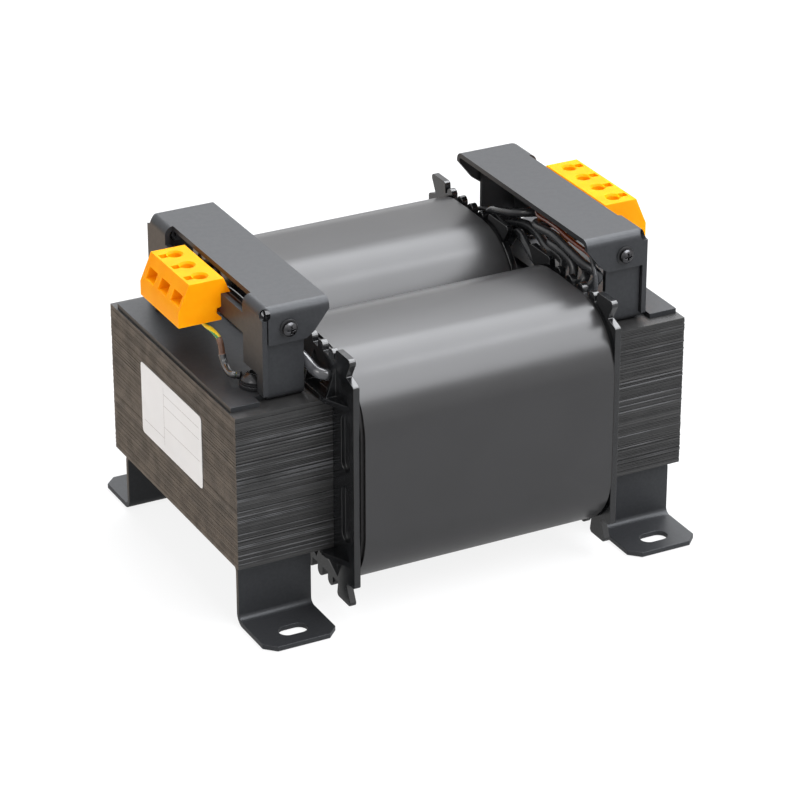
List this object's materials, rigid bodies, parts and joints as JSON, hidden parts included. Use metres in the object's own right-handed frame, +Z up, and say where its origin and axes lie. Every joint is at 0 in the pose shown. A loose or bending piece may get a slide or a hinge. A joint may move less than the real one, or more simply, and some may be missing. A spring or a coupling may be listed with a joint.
{
  "type": "transformer",
  "caption": "Open-frame power transformer with a two-legged laminated core, two wrapped coils, slotted foot straps and sheet brackets carrying amber screw terminals.",
  "frame": {"origin": "middle of the four mounting slots, on the face under the feet", "axes": "+Z up from the mounting face, +X along the core legs away from the label, +Y across the two coils"},
  "size_m": [0.1962, 0.153, 0.1255],
  "materials": {
    "core_steel": "black varnish over cut lamination edges",
    "black_sheet": "semi-gloss black coating",
    "former_plastic": "satin black moulding",
    "winding_copper": "enamelled copper wire",
    "barrier_paper": "insulating film",
    "wrap_film": "satin black film",
    "divider_board": "pressed board",
    "black_bolt": "blackened steel",
    "sleeve_plastic": "insulating tube",
    "plain_steel": "zinc plated",
    "amber_plastic": "amber moulding",
    "tinned_metal": "tinned brass",
    "lug_metal": "dull plated",
    "earth_insulation": "green and yellow insulation",
    "clear_sleeve": "thin shrink sleeve",
    "grey_lead": "grey sleeving",
    "black_lead": "black sleeving",
    "enamel_copper": "reddish enamelled wire",
    "label_film": "plain white film"
  },
  "bodies": {
    "root": {"u_core": "core_steel", "i_core": "core_steel", "foot_front": "black_sheet", "foot_rear": "black_sheet", "base_front": "black_sheet", "base_rear": "black_sheet", "cover_front": "black_sheet", "cover_rear": "black_sheet", "former_near": "former_plastic", "former_far": "former_plastic", "primary_near": "winding_copper", "primary_far": "winding_copper", "secondary_near": "winding_copper", "secondary_far": "winding_copper", "barrier_near": "barrier_paper", "barrier_far": "barrier_paper", "wrap_near": "wrap_film", "wrap_far": "wrap_film", "coil_divider": "divider_board", "clamp_bolts": "black_bolt", "clamp_washers": "black_bolt", "clamp_nuts": "black_bolt", "bolt_sleeves": "sleeve_plastic", "cover_screws": "plain_steel", "cover_washers": "plain_steel", "cover_nuts": "plain_steel", "terminal_screws": "plain_steel", "housing_front": "amber_plastic", "housing_rear": "amber_plastic", "cages_front": "tinned_metal", "cages_rear": "tinned_metal", "earth_lug": "lug_metal", "earth_wire": "earth_insulation", "earth_sleeve": "clear_sleeve", "front_leads": "grey_lead", "rear_leads": "black_lead", "copper_leads": "enamel_copper", "label": "label_film"}
  },
  "joints": []
}
